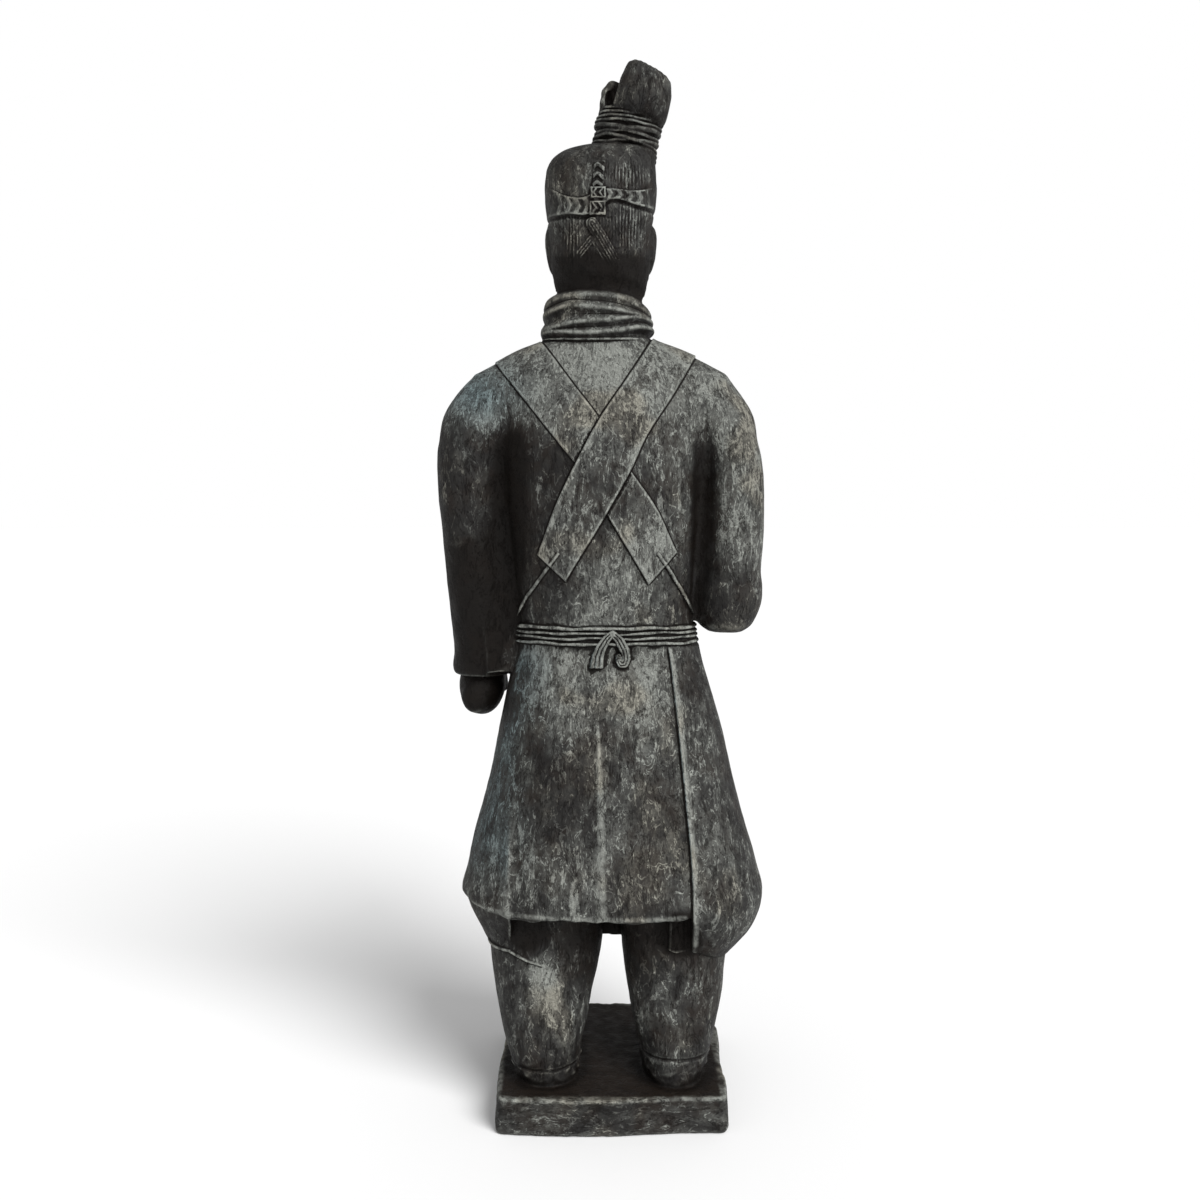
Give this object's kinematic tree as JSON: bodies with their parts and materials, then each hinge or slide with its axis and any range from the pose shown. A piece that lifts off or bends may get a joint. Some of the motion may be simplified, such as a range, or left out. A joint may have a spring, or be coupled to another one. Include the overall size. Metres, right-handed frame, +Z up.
{
  "type": "terracotta warrior statue",
  "caption": "Standing robed warrior with a side topknot, scarf, crossed back straps and cord belt, cast in one with a square plinth.",
  "frame": {"origin": "middle of the plinth's flat underside", "axes": "+Z up the figure; the figure faces -Y, so its back is +Y and its own left is +X"},
  "size_m": [0.3186, 0.2533, 1],
  "materials": {
    "cast_clay": "charcoal slip with a pale dry-brushed wash, satin-matte"
  },
  "bodies": {
    "root": {"warrior_statue": "cast_clay"}
  },
  "joints": []
}
